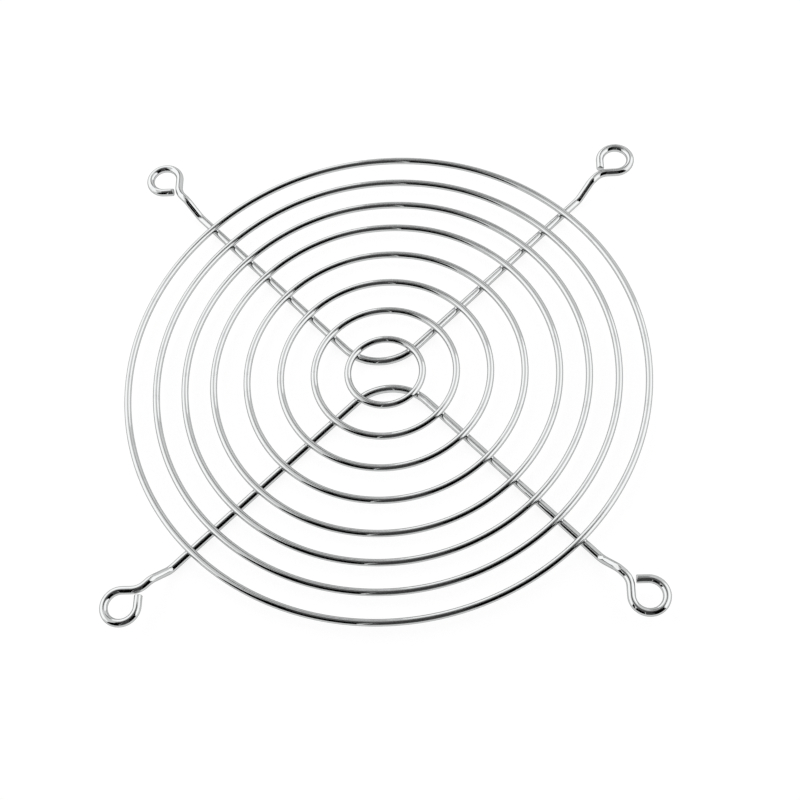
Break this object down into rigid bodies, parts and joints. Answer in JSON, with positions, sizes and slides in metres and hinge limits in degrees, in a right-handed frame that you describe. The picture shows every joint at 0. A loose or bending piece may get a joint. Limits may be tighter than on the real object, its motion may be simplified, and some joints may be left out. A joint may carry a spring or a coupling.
{
  "type": "wire fan guard",
  "caption": "Round fan guard of concentric plated wire rings welded on bent spoke wires, with an open screw eye at each corner of a square.",
  "frame": {"origin": "centre of the guard, on the plane that the undersides of the spokes lie on", "axes": "+Z from the spokes towards the rings and the raised eyes, along the fan's axis; +X and +Y along the sides of the square of eyes, +Y to the two eyes of the upper spoke"},
  "size_m": [0.1142, 0.1142, 0.0047],
  "materials": {
    "ring_wire": "bright plated steel wire, smooth, with faint drawing lines",
    "spoke_wire": "bright plated steel wire, smooth, with bare cut ends"
  },
  "bodies": {
    "root": {"ring_1": "ring_wire", "ring_2": "ring_wire", "ring_3": "ring_wire", "ring_4": "ring_wire", "ring_5": "ring_wire", "ring_6": "ring_wire", "ring_7": "ring_wire", "ring_8": "ring_wire", "upper_spoke": "spoke_wire", "lower_spoke": "spoke_wire"}
  },
  "joints": []
}
